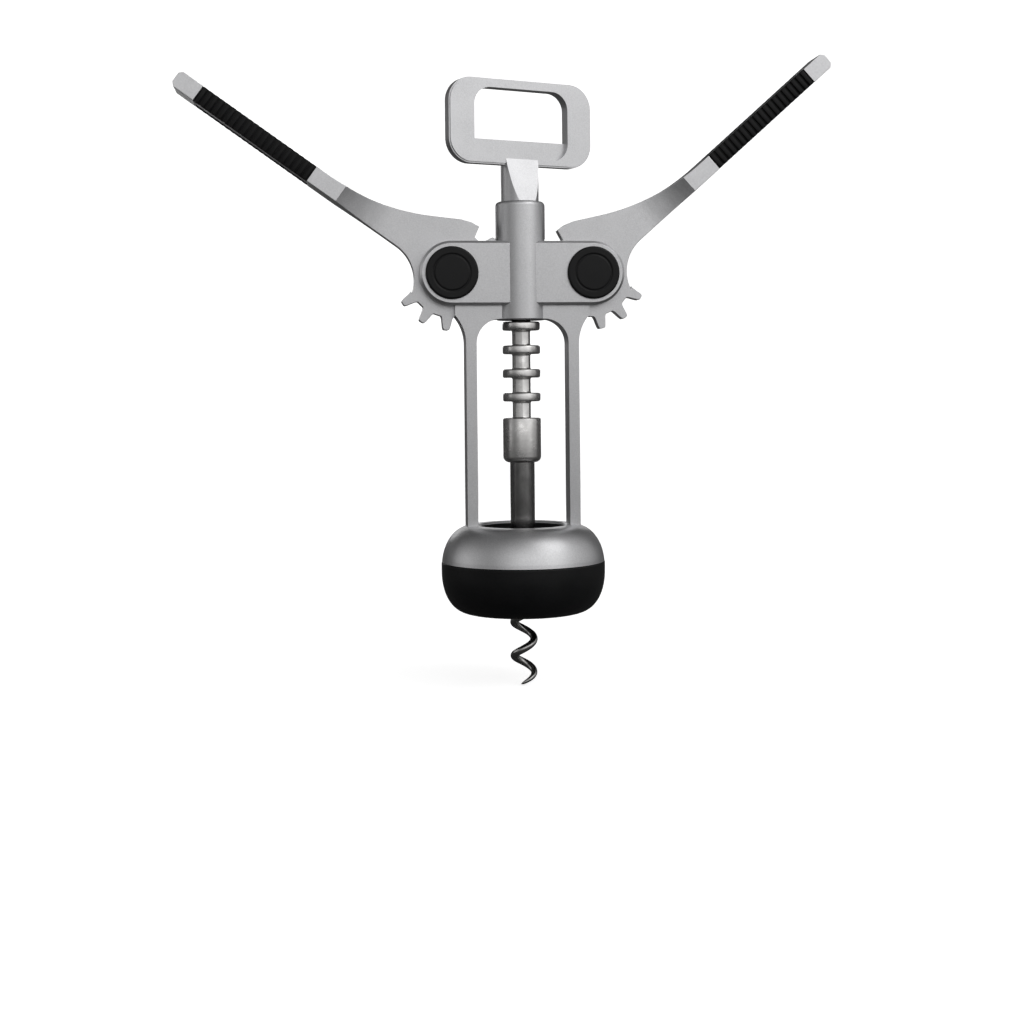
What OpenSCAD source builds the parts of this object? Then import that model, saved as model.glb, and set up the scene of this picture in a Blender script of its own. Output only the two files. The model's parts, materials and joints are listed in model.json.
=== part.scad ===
// Lever corkscrew: a cast frame with a bell foot, two geared levers and a
// ring-rack spindle that carries the handle and the worm.
// The origin is on the spindle axis in the plane of the bell's foot. +Z is up
// the spindle, +X to the right lever, and the front of the frame faces -Y.

/* [Spindle and rack] */
// Diameter of the rack rings, the collar and the neck
spindle_d = 14.1; // [13:0.1:16]
// Diameter of the core between the rack rings
core_d = 6.8; // [5:0.1:8]
// Distance from one rack ring to the next
rack_pitch = 8.8; // [8:0.05:9.6]
// Thickness of a rack ring
ring_t = 3.2; // [2.6:0.1:3.8]
// Height of the collar under the rack
collar_h = 16.5; // [12:0.5:24]
// Diameter of the steel shank
shank_d = 9.1; // [7:0.1:10]

/* [Worm] */
// Outside diameter of the worm
worm_d = 10.2; // [8:0.1:11]
// Diameter of the worm's wire
wire_d = 2.8; // [2:0.1:3.4]
// Rise of the worm in one turn
worm_pitch = 12.5; // [9:0.5:15]
// Number of turns of the worm
worm_turns = 4; // [2:0.25:4.5]

/* [Frame] */
// Distance between the two lever pivots
pivot_gap = 52.4; // [52:0.1:56]
// Height of the pivots above the foot
pivot_z = 125.5; // [105:0.5:150]
// Height of the plates that hold the pivots
plate_h = 23.6; // [22:0.1:27]
// Distance between the outer faces of the front and back plates
plate_depth = 15.8; // [14:0.2:20]
// Distance between the front and back faces of the legs
leg_depth = 10.6; // [10:0.2:13.4]
// Width of a leg seen from the front
leg_w = 3.9; // [3.6:0.1:6]
// Clear width between the legs
leg_gap = 34.2; // [31:0.1:36]
// Wall of the tube round the spindle
tube_wall = 2.1; // [2:0.1:3]
// Length of the tube above the plates
tube_rise = 15; // [12:0.5:22]
// Width of the slot that the gears turn in
slot_w = 6.6; // [6:0.1:7.4]

/* [Bell] */
// Largest diameter of the bell
bell_d = 60.8; // [56:0.2:70]
// Height of the bell
bell_h = 32.3; // [28:0.1:40]
// Height of the black foot ring
foot_h = 18.9; // [14:0.1:22]
// Bore of the guide that seats on a bottle's neck
guide_bore_d = 30.4; // [29:0.1:32]

/* [Levers] */
// Length of a lever from its pivot to its tip
lever_len = 121.2; // [90:0.2:140]
// Width of a lever's arm seen from the front
arm_w = 6.4; // [5.6:0.1:8]
// Depth of a lever's arm, front to back
arm_depth = 14; // [12:0.5:18]
// Length of a grip pad
grip_len = 49.4; // [30:0.2:60]
// Length of the metal tip beyond the grip pads
tip_len = 9.8; // [6:0.2:14]
// Thickness of a grip pad
pad_t = 2.6; // [2:0.1:3.2]
// Number of ribs on a grip pad
rib_count = 20; // [10:1:26]
// Angle of the left arm above level at rest
left_angle = 35.5; // [35:0.1:42]
// Angle of the right arm above level at rest
right_angle = 41.7; // [35:0.1:42]
// Radius of the gear at the tooth tips
gear_tip_r = 20.9; // [20.6:0.1:21]
// Radius of the gear at the tooth roots
gear_root_r = 16.2; // [15:0.1:17]
// Diameter of a pivot pin
pin_d = 6; // [4:0.1:7]
// Diameter of a pivot cap
cap_d = 19.4; // [16:0.1:21]

/* [Handle] */
// Width of the handle's loop
loop_w = 59; // [46:0.5:70]
// Height of the handle's loop
loop_h = 31.5; // [28:0.5:40]
// Thickness of the handle's loop
loop_t = 4.4; // [3.6:0.1:6]
// Width of the loop's side bars
loop_bar = 10.1; // [6:0.1:11]
// Turn of the handle about the spindle at rest
handle_turn = 20; // [0:1:90]

/* [Hidden] */
$fn = 96;

// Clearances
run = 0.05;        // radial, a part that turns or slides in a bore
side_gap = 0.05;   // beside a washer or a gear
swing_gap = 0.6;   // round the gear teeth, in the frame

// Spindle
ring_r = spindle_d / 2;
core_r = core_d / 2;
bore_r = ring_r + 0.1;
mesh_lift = 2.6;   // height of the meshed rack gap's middle over the pivots
top_gap_z = pivot_z + mesh_lift;
rings_below = 6;   // rings under the meshed gap
rings_above = 2;   // rings over it
ring_z = [for (i = [-rings_below:rings_above - 1]) top_gap_z + (i + 0.5) * rack_pitch];
ring_edge = 0.5;
collar_top = ring_z[0] - rack_pitch + ring_t / 2 - 0.5;
collar_bottom = collar_top - collar_h;
stud_r = 4;
stud_len = 11;
neck_bottom = ring_z[len(ring_z) - 1] + rack_pitch / 2 - 0.6;
stud_top = neck_bottom + stud_len;

// Shank and worm
shank_r = shank_d / 2;
shank_seat = 11;
shank_bottom = foot_h + 4.6;
stem_len = 9;
stem_r = wire_d / 2;
worm_r = worm_d / 2 - stem_r;
lead_in = 0.6;     // turns over which the wire leaves the axis
point_turns = 0.45;
worm_start = 245;  // direction in which the wire leaves the axis
wire_sides = 10;
steps_per_turn = 18;

// Frame
pivot_x = pivot_gap / 2;
plate_y = plate_depth / 2;
leg_y = leg_depth / 2;
slot_y = slot_w / 2;
plate_r = plate_h / 2;
plate_edge = 0.9;
tube_r = bore_r + tube_wall;
tube_top = pivot_z + plate_r + tube_rise;
tube_bottom = pivot_z - plate_r - 5.4;
tube_edge = 1.7;
leg_in = leg_gap / 2;
leg_out = leg_in + leg_w;
arch_r = 9;
arch_top = tube_bottom + 0.4;
web_fillet = 16;
web_out = pivot_x - 1.2;
web_bottom = arch_top - arch_r - 0.2;
gear_room = gear_tip_r + swing_gap;

// Bush in the top of the tube
bush_wall = 1.05;
bush_len = 8.2;
bush_drop = 0.8;
bush_r = bore_r + bush_wall;

// Bell
bell_r = bell_d / 2;
bell_belly = 15.8;  // height of the widest part
crown_flat_r = bell_r - 12;
foot_flat_r = bell_r - 10.4;
bell_power = 2.2;
mouth_r = leg_in - 1.2;
guide_wall = 3;
guide_r = guide_bore_d / 2 + guide_wall;
lip_t = 4.8;
guide_bottom = 1.2;
guide_top = bell_h - lip_t;
seat_t = 2.6;
seat_hole_r = 6.6;
spigot_in = guide_r + 2.6;
spigot_out = spigot_in + 3;
spigot_h = 6;

// Pivots
pin_r = pin_d / 2;
cap_r = cap_d / 2;
cap_seat = 1.5;
cap_plug_r = 6;
cap_proud = 1.4;
washer_t = 0.4;
washer_r = 8;

// Levers
gear_t = slot_w - 2 * (washer_t + 2 * side_gap);
travel = rack_pitch / 0.4632;      // rack travel in mm for one radian of lever
tooth_step = rack_pitch / travel * 180 / PI;
nominal_angle = (left_angle + right_angle) / 2;
mesh_angle = 180 - nominal_angle;  // from the arm round to the spindle
first_tooth = mesh_angle - atan(mesh_lift / travel) - tooth_step;
tooth_count = 8;
root_half = 1.95;
tip_half = 1.4;
waist_r = 15.5;
waist_x = 22.3;
shoulder_r = 84;
shoulder_x = 58;
shoulder_from = 17;
beak = [[8.4, 18.7], [4.6, 20.1], [1.4, 20.45], [0.4, 16.2]];
arm_y = arm_w / 2;
grip_from = lever_len - tip_len - grip_len;
scoop_edge = grip_from - 12.6;
scoop_from = scoop_edge - 21;
scoop_drop = (arm_depth - gear_t) / 2;
scoop_r = ((scoop_edge - scoop_from) ^ 2 + scoop_drop ^ 2) / (2 * scoop_drop);
core_w = arm_w - 0.6;
rib_depth = 0.7;
rib_groove = 0.8;
tip_bevel = 1.3;

// Handle
neck_r = ring_r;
loop_z = tube_top + 13.4;
loop_r = 9;
loop_inner_r = 6.6;
loop_top_bar = 3.3;
loop_bottom_bar = 2.3;
ledge_h = 7;
ledge_t = 2;
loop_edge = 0.5;
neck_flat_half = ring_r - 0.7;
cross_pin_r = 1.25;
cross_pin_z = neck_bottom + 4.6;

satin = [0.72, 0.72, 0.73];
steel = [0.5, 0.5, 0.51];
black = [0.08, 0.08, 0.085];
brass = [0.74, 0.62, 0.36];

// ---- helpers ----------------------------------------------------------

function polar(r, a) = [r * cos(a), r * sin(a)];

function arc(centre, r, from, to, n) =
    [for (i = [0:n]) centre + polar(r, from + (to - from) * i / n)];

// A quarter of a superellipse from its side [a, 0] to its top [0, b]
function quarter(a, b, power, n) =
    [for (i = [0:n]) let (t = 90 * i / n) [a * cos(t) ^ (2 / power), b * sin(t) ^ (2 / power)]];

// Cylinder whose axis runs front to back, between two depths
module cross_bar(r, y0, y1, x = 0, z = 0) {
    translate([x, y0, z]) rotate([-90, 0, 0]) cylinder(r = r, h = y1 - y0);
}

// Both halves of something that is alike front and back
module front_and_back() {
    children();
    mirror([0, 1, 0]) children();
}

module left_and_right() {
    children();
    mirror([1, 0, 0]) children();
}

// Turns a front view drawn in X and Z into a slab between two depths
module slab(y0, y1) {
    translate([0, y1, 0]) rotate([90, 0, 0]) linear_extrude(y1 - y0) children();
}

// ---- frame ------------------------------------------------------------

// A bar with round ends over both pivots, from the slot out to a depth
module bar_over_pivots(r, depth) {
    left_and_right() cross_bar(r, -depth, -slot_y, pivot_x, pivot_z);
    translate([-pivot_x, -depth, pivot_z - r]) cube([2 * pivot_x, depth - slot_y, 2 * r]);
}

// The front plate, with its outer edge chamfered
module plate() {
    face_r = plate_r - plate_edge;
    edge_y = plate_edge - plate_y;
    bar_over_pivots(plate_r, -edge_y);
    bar_over_pivots(face_r, plate_y);
    left_and_right() translate([pivot_x, -plate_y, pivot_z]) rotate([-90, 0, 0])
        cylinder(r1 = face_r, r2 = plate_r, h = plate_edge);
    translate([-pivot_x, 0, pivot_z]) rotate([90, 0, 90]) linear_extrude(2 * pivot_x)
        polygon([[-plate_y, -face_r], [edge_y, -plate_r], [edge_y, plate_r], [-plate_y, face_r]]);
}

module legs_and_web() {
    difference() {
        union() {
            left_and_right()
                translate([leg_in, -leg_y, bell_h - 4])
                    cube([leg_w, leg_depth, pivot_z - bell_h]);
            translate([-web_out, -leg_y, web_bottom])
                cube([2 * web_out, leg_depth, pivot_z - web_bottom]);
        }
        left_and_right()
            cross_bar(web_fillet, -leg_y - 1, leg_y + 1, leg_out + web_fillet, web_bottom);
        // arch over the gap between the legs
        left_and_right()
            cross_bar(arch_r, -leg_y - 1, leg_y + 1, leg_in - arch_r, arch_top - arch_r);
        translate([arch_r - leg_in, -leg_y - 1, web_bottom - 1])
            cube([2 * (leg_in - arch_r), leg_depth + 2, arch_top - web_bottom + 1]);
        translate([-leg_in, -leg_y - 1, web_bottom - 1])
            cube([2 * leg_in, leg_depth + 2, arch_top - arch_r - web_bottom + 1]);
    }
}

module tube() {
    rotate_extrude() polygon(concat(
        [[0, tube_bottom], [tube_r - 0.4, tube_bottom], [tube_r, tube_bottom + 0.4]],
        arc([tube_r - tube_edge, tube_top - tube_edge], tube_edge, 0, 90, 8),
        [[0, tube_top]]));
}

module bell_crown() {
    rise = bell_h - bell_belly;
    curve = quarter(bell_r - crown_flat_r, rise, bell_power, 20);
    above = [for (p = curve) if (p[1] > foot_h - bell_belly + 0.3) p + [crown_flat_r, bell_belly]];
    rotate_extrude($fn = 128) polygon(concat(
        [[guide_r, foot_h], [spigot_in, foot_h], [spigot_in, foot_h - spigot_h],
            [spigot_out, foot_h - spigot_h], [spigot_out, foot_h], [bell_r - 0.15, foot_h]],
        above,
        [[mouth_r + 0.6, bell_h], [mouth_r, bell_h - 0.6], [mouth_r, guide_top], [guide_r, guide_top]]));
}

module frame_casting() {
    color(satin) difference() {
        union() {
            front_and_back() plate();
            legs_and_web();
            tube();
            bell_crown();
        }
        translate([0, 0, tube_bottom - 1]) cylinder(r = bore_r, h = tube_top - tube_bottom + 2);
        translate([0, 0, tube_top - bush_drop - bush_len])
            cylinder(r = bush_r + run, h = bush_len + bush_drop + 1);
        left_and_right() {
            cross_bar(gear_room, -slot_y, slot_y, pivot_x, pivot_z);
            cross_bar(pin_r, -plate_y - 1, plate_y + 1, pivot_x, pivot_z);
            front_and_back() cross_bar(cap_plug_r, -plate_y - 1, cap_seat - plate_y, pivot_x, pivot_z);
        }
    }
}

module foot_ring() {
    curve = quarter(bell_r - foot_flat_r, bell_belly, bell_power, 20);
    below = [for (i = [len(curve) - 1:-1:0]) [curve[i][0] + foot_flat_r, bell_belly - curve[i][1]]];
    color(black) rotate_extrude($fn = 128) polygon(concat(
        [[guide_r, 0.6], [guide_r + 0.6, 0]],
        below,
        [[bell_r, foot_h - 0.4], [bell_r - 0.4, foot_h], [spigot_out, foot_h],
            [spigot_out, foot_h - spigot_h], [spigot_in, foot_h - spigot_h],
            [spigot_in, foot_h], [guide_r, foot_h]]));
}

module neck_guide() {
    bore = guide_bore_d / 2;
    color(black) rotate_extrude($fn = 128) polygon([
        [bore + 1.2, guide_bottom], [guide_r, guide_bottom], [guide_r, guide_top],
        [seat_hole_r + 1, guide_top], [seat_hole_r, guide_top - 1], [seat_hole_r, guide_top - seat_t],
        [bore, guide_top - seat_t], [bore, guide_bottom + 2]]);
}

module pivot_pin(side) {
    color(steel) cross_bar(pin_r, cap_seat - plate_y, plate_y - cap_seat, side * pivot_x, pivot_z);
}
module pivot_pin_left() { pivot_pin(-1); }
module pivot_pin_right() { pivot_pin(1); }

// Snap-in cap: a plug in the plate, a bevelled rim and a stepped middle
module pivot_cap() {
    rim = cap_proud - 0.5;
    step_r = cap_r * 0.69;
    color(black) translate([pivot_x, -plate_y, pivot_z]) rotate([90, 0, 0])
        rotate_extrude() polygon([
            [0, -cap_seat], [cap_plug_r, -cap_seat], [cap_plug_r, 0], [cap_r, 0], [cap_r, rim],
            [cap_r - 0.5, cap_proud], [step_r + 0.5, cap_proud], [step_r, cap_proud - 0.4],
            [step_r - 0.5, cap_proud], [0, cap_proud + 0.1]]);
}
module front_cap_left() { mirror([1, 0, 0]) pivot_cap(); }
module front_cap_right() { pivot_cap(); }
module back_cap_left() { mirror([1, 0, 0]) mirror([0, 1, 0]) pivot_cap(); }
module back_cap_right() { mirror([0, 1, 0]) pivot_cap(); }

module washers(side) {
    inner = pin_r + 0.1;
    outer_y = slot_y - side_gap;
    color(brass) front_and_back() difference() {
        cross_bar(washer_r, -outer_y, washer_t - outer_y, side * pivot_x, pivot_z);
        cross_bar(inner, -slot_y - 1, slot_y, side * pivot_x, pivot_z);
    }
}
module washers_left() { washers(-1); }
module washers_right() { washers(1); }

module spindle_bush() {
    color(black) translate([0, 0, tube_top - bush_drop - bush_len]) difference() {
        cylinder(r = bush_r, h = bush_len);
        translate([0, 0, -1]) cylinder(r = ring_r + run, h = bush_len + 2);
    }
}

// ---- levers -----------------------------------------------------------
// A lever is drawn in its own frame: pivot at the origin, arm along +X,
// and its upper edge towards +Y of the drawing.

// One tooth about the direction a, given anticlockwise from root to root
function tooth(a) =
    let (u = polar(1, a), v = polar(1, a + 90), tip = gear_tip_r, round_off = 0.75)
    [for (p = [[gear_root_r - 0.3, -root_half - 0.35], [gear_root_r + 0.5, -root_half],
        [tip - round_off - 0.4, -tip_half], [tip - 0.25, -tip_half + 0.3], [tip, -tip_half + 0.75],
        [tip, tip_half - 0.75], [tip - 0.25, tip_half - 0.3], [tip - round_off - 0.4, tip_half],
        [gear_root_r + 0.5, root_half], [gear_root_r - 0.3, root_half + 0.35]]) p[0] * u + p[1] * v];

function lever_outline() =
    let (shoulder = arc([shoulder_x, arm_y + shoulder_r], shoulder_r,
            270 - asin((shoulder_x - shoulder_from) / shoulder_r), 270, 16),
        waist = arc([waist_x, -arm_y - waist_r], waist_r, 90, 164, 16))
    concat(
        [[lever_len - tip_bevel, -arm_y], [lever_len, tip_bevel - arm_y],
            [lever_len, arm_y - tip_bevel], [lever_len - tip_bevel, arm_y]],
        [for (i = [len(shoulder) - 1:-1:0]) shoulder[i]],
        beak,
        [for (i = [0:tooth_count - 1]) each tooth(first_tooth + tooth_step * i)],
        [for (i = [len(waist) - 1:-1:0]) waist[i]]);

module lever_solid() {
    half = arm_depth / 2;
    gear_y = gear_t / 2;
    difference() {
        slab(-half, half) polygon(lever_outline());
        front_and_back() {
            translate([-2 * gear_tip_r, -half - 1, -2 * gear_tip_r])
                cube([2 * gear_tip_r + scoop_from, half + 1 - gear_y, 4 * gear_tip_r]);
            translate([scoop_from, -gear_y - scoop_r, -gear_tip_r])
                cylinder(r = scoop_r, h = 2 * gear_tip_r, $fn = 180);
            // pocket for the grip pad
            translate([grip_from, -half - 1, -arm_w]) cube([grip_len, pad_t + 1, 2 * arm_w]);
        }
        // slimmer core between the pads
        for (z = [core_w / 2, -core_w / 2 - arm_w])
            translate([grip_from, -half, z]) cube([grip_len, arm_depth, arm_w]);
        cross_bar(pin_r + run, -half, half);
    }
}

module grip_pad() {
    half = arm_depth / 2;
    pitch = grip_len / rib_count;
    color(black) difference() {
        translate([grip_from, -half, -arm_y]) cube([grip_len, pad_t, arm_w]);
        for (i = [0:rib_count - 1])
            translate([grip_from + (i + 0.5) * pitch - rib_groove / 2, -half - 1, -arm_w])
                cube([rib_groove, rib_depth + 1, 2 * arm_w]);
    }
}

module at_right_lever() {
    translate([pivot_x, 0, pivot_z]) rotate([0, -right_angle, 0]) children();
}
module at_left_lever() {
    mirror([1, 0, 0]) translate([pivot_x, 0, pivot_z]) rotate([0, -left_angle, 0]) children();
}

module lever_left() { color(satin) at_left_lever() lever_solid(); }
module lever_right() { color(satin) at_right_lever() lever_solid(); }
module front_pad_left() { at_left_lever() grip_pad(); }
module back_pad_left() { at_left_lever() mirror([0, 1, 0]) grip_pad(); }
module front_pad_right() { at_right_lever() grip_pad(); }
module back_pad_right() { at_right_lever() mirror([0, 1, 0]) grip_pad(); }

// ---- spindle, handle and worm -----------------------------------------

module rounded_slab(w, h, r, y0, y1, z) {
    translate([-w / 2 + r, y0, z]) cube([w - 2 * r, y1 - y0, h]);
    translate([-w / 2, y0, z + r]) cube([w, y1 - y0, h - 2 * r]);
    for (x = [r - w / 2, w / 2 - r], c = [z + r, z + h - r]) cross_bar(r, y0, y1, x, c);
}

module loop() {
    half = loop_t / 2;
    hole_w = loop_w - 2 * loop_bar;
    hole_h = loop_h - loop_top_bar - loop_bottom_bar;
    difference() {
        union() {
            rounded_slab(loop_w, loop_h, loop_r, loop_edge - half, half - loop_edge, loop_z);
            rounded_slab(loop_w - 2 * loop_edge, loop_h - 2 * loop_edge, loop_r - loop_edge,
                -half, half, loop_z + loop_edge);
        }
        rounded_slab(hole_w, hole_h, loop_inner_r, -half - 1, half + 1, loop_z + loop_bottom_bar);
    }
    // ledge that lifts a bottle cap
    translate([-hole_w / 2 - 1, half - ledge_t - 0.4, loop_z + loop_bottom_bar - 1])
        cube([hole_w + 2, ledge_t, ledge_h + 1]);
}

module neck() {
    top = loop_z + loop_bottom_bar;
    flat_z = tube_top - 0.5;
    wide = neck_flat_half;
    thin = loop_t / 2;
    intersection() {
        translate([0, 0, neck_bottom]) cylinder(r = neck_r, h = top - neck_bottom);
        rotate([90, 0, 90]) translate([0, 0, -neck_r - 1]) linear_extrude(2 * neck_r + 2)
            polygon([[-neck_r - 1, neck_bottom - 1], [neck_r + 1, neck_bottom - 1],
                [neck_r + 1, flat_z - 4], [wide, flat_z], [thin, top], [-thin, top],
                [-wide, flat_z], [-neck_r - 1, flat_z - 4]]);
    }
}

module handle() {
    color(satin) rotate([0, 0, handle_turn]) difference() {
        union() {
            loop();
            neck();
        }
        translate([0, 0, neck_bottom - 1]) cylinder(r = stud_r, h = stud_len + 1);
        cross_bar(cross_pin_r, -neck_r - 1, neck_r + 1, 0, cross_pin_z);
    }
}

module handle_pin() {
    color(steel) rotate([0, 0, handle_turn])
        cross_bar(cross_pin_r, 0.1 - neck_r, neck_r - 0.1, 0, cross_pin_z);
}

module rack_spindle() {
    color(steel) difference() {
        rotate_extrude() polygon(concat(
            [[0, collar_bottom], [ring_r - 2.2, collar_bottom]],
            arc([ring_r - 2.2, collar_bottom + 2.2], 2.2, -90, 0, 6),
            [[ring_r, collar_top - ring_edge], [ring_r - ring_edge, collar_top], [core_r, collar_top]],
            [for (z = ring_z) each [
                [core_r, z - ring_t / 2], [ring_r - ring_edge, z - ring_t / 2],
                [ring_r, z - ring_t / 2 + ring_edge], [ring_r, z + ring_t / 2 - ring_edge],
                [ring_r - ring_edge, z + ring_t / 2], [core_r, z + ring_t / 2]]],
            [[core_r, neck_bottom - 1.6], [stud_r, neck_bottom - 1], [stud_r, stud_top], [0, stud_top]]));
        rotate([0, 0, handle_turn]) cross_bar(cross_pin_r, -neck_r, neck_r, 0, cross_pin_z);
        translate([0, 0, collar_bottom - 1]) cylinder(r = shank_r, h = shank_seat + 1);
    }
}

module shank() {
    nose = 1.2;
    color(steel) difference() {
        rotate_extrude() polygon([[0, shank_bottom], [shank_r - nose, shank_bottom],
            [shank_r, shank_bottom + nose], [shank_r, collar_bottom + shank_seat],
            [0, collar_bottom + shank_seat]]);
        translate([0, 0, shank_bottom - 1]) cylinder(r = stem_r, h = stem_len + 1);
    }
}

// Wire centre after t turns below the shank: it leaves the axis, then coils
function worm_point(t) =
    let (s = min(1, t / lead_in), spread = worm_r * s * s * (3 - 2 * s))
    [spread * cos(worm_start - 360 * t), spread * sin(worm_start - 360 * t), shank_bottom - t * worm_pitch];

// Thickness of the wire, drawn down to a point over the last part turn
function wire_r(t) =
    let (left = worm_turns - t)
    left > point_turns ? stem_r : stem_r * (0.12 + 0.88 * sqrt(max(0, left / point_turns)));

module worm() {
    n = ceil(worm_turns * steps_per_turn);
    stem = [for (z = [stem_len, 0.5]) [[0, 0, shank_bottom + z], stem_r, [0, 0, -1]]];
    coil = [for (i = [1:n]) let (t = worm_turns * i / n, d = 0.01,
            dir = worm_point(t + d) - worm_point(t - d))
        [worm_point(t), wire_r(t), dir / norm(dir)]];
    rings = concat(stem, coil);
    points = [for (ring = rings) let (dir = ring[2], side = cross(dir, [0, 1, 0.001]),
            across = side / norm(side), up = cross(dir, across))
        for (k = [0:wire_sides - 1]) let (a = 360 * k / wire_sides)
            ring[0] + ring[1] * (cos(a) * across + sin(a) * up)];
    last = len(rings) - 1;
    sides = [for (j = [0:last - 1], k = [0:wire_sides - 1])
        let (a = j * wire_sides + k, b = j * wire_sides + (k + 1) % wire_sides)
            [a, a + wire_sides, b + wire_sides, b]];
    color(steel) polyhedron(points, concat(
        [[for (k = [0:wire_sides - 1]) k]],
        sides,
        [[for (k = [wire_sides - 1:-1:0]) last * wire_sides + k]]), convexity = 8);
}

frame_casting();
foot_ring();
neck_guide();
pivot_pin_left();
pivot_pin_right();
front_cap_left();
front_cap_right();
back_cap_left();
back_cap_right();
washers_left();
washers_right();
spindle_bush();
lever_left();
lever_right();
front_pad_left();
back_pad_left();
front_pad_right();
back_pad_right();
handle();
handle_pin();
rack_spindle();
shank();
worm();
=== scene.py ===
"""Lever corkscrew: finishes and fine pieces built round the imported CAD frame."""

import json
import math

import bmesh
import bpy
from bpy.props import FloatProperty, FloatVectorProperty, IntProperty, PointerProperty
from mathutils import Matrix, Vector


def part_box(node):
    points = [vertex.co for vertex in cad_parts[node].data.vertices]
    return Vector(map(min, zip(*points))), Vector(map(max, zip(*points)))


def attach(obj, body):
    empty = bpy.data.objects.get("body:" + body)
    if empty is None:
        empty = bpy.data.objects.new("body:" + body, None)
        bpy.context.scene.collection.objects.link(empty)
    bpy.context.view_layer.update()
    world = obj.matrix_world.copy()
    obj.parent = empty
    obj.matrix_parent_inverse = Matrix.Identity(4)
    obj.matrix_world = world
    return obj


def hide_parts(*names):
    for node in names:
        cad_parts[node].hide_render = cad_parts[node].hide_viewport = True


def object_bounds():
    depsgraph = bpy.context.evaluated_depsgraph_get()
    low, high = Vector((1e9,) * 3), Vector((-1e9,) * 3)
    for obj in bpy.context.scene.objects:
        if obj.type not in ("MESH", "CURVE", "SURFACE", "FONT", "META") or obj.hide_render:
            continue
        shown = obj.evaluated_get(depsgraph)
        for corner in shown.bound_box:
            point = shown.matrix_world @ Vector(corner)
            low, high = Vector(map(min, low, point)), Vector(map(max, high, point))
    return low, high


bl_info = {
    "name": "Lever Corkscrew",
    "version": (1, 0, 0),
    "blender": (4, 5, 0),
    "location": "3D View > Sidebar > Corkscrew",
    "description": "Builds the visible pieces and finishes of a lever corkscrew",
    "category": "Object",
}

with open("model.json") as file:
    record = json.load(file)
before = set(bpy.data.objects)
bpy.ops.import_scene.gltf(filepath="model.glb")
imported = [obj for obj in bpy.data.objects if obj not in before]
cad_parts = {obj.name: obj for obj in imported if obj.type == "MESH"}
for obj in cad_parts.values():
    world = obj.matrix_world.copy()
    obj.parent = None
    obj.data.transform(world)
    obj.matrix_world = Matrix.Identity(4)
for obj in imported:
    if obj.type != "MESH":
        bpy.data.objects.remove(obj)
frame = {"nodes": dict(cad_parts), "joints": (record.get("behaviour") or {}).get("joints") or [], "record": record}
CAD_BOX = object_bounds()
JOINTS = {joint["name"]: joint for joint in frame["joints"]}


# ---- sizes and colours ------------------------------------------------------


class FinishSettings(bpy.types.PropertyGroup):
    """Colours and grain of the materials."""

    casting_colour: FloatVectorProperty(
        name="Casting colour", description="Tone of the satin zinc castings",
        default=(0.60, 0.60, 0.61), subtype="COLOR", size=3)
    casting_roughness: FloatProperty(
        name="Casting roughness", description="Blur of the castings' reflections",
        default=0.40, min=0.1, max=0.9)
    grain_size: FloatProperty(
        name="Grain size", description="Width of one grain of the blasted surface",
        default=0.00045, unit="LENGTH")
    steel_colour: FloatVectorProperty(
        name="Steel colour", description="Tone of the turned steel",
        default=(0.36, 0.355, 0.35), subtype="COLOR", size=3)
    black_colour: FloatVectorProperty(
        name="Black colour", description="Tone of the black mouldings",
        default=(0.0045, 0.0045, 0.0048), subtype="COLOR", size=3)


class EdgeSettings(bpy.types.PropertyGroup):
    """Rounding of the castings' edges."""

    casting_edge: FloatProperty(
        name="Casting edge", description="Width of the rounding on the castings",
        default=0.00030, unit="LENGTH")
    moulding_edge: FloatProperty(
        name="Moulding edge", description="Width of the rounding on the black mouldings",
        default=0.00018, unit="LENGTH")
    pin_edge: FloatProperty(
        name="Pin edge", description="Width of the broken edge on pins and washers",
        default=0.00008, unit="LENGTH")
    edge_steps: IntProperty(
        name="Edge steps", description="Segments across a rounded edge", default=2, min=1, max=4)


class GuideSettings(bpy.types.PropertyGroup):
    """The black guide inside the bell; its collar is a thin black lining that paints the shade inside the bell's
    mouth.
    """

    radius: FloatProperty(name="Radius", description="Outside radius", default=0.0182, unit="LENGTH")
    bore: FloatProperty(
        name="Bore", description="Radius of the bore for the bottle's neck", default=0.0152, unit="LENGTH")
    bottom: FloatProperty(name="Bottom", description="Lower end", default=0.0012, unit="LENGTH")
    top: FloatProperty(name="Top", description="Top of the seat", default=0.0275, unit="LENGTH")
    seat: FloatProperty(name="Seat", description="Thickness of the seat", default=0.0026, unit="LENGTH")
    hole: FloatProperty(
        name="Hole", description="Radius of the hole for the shank", default=0.0066, unit="LENGTH")
    # the collar: painted shade, a thin black lining inside the bell's mouth where the mouth's inside lies in shade
    shade_lining_radius: FloatProperty(
        name="Shade lining radius", description="Outside of the collar in the mouth",
        default=0.01585, unit="LENGTH")
    shade_lining_wall: FloatProperty(
        name="Shade lining wall", description="Wall of the collar", default=0.0005, unit="LENGTH")
    collar_top: FloatProperty(
        name="Shade lining top", description="Height of the collar's top", default=0.0315, unit="LENGTH")


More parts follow.
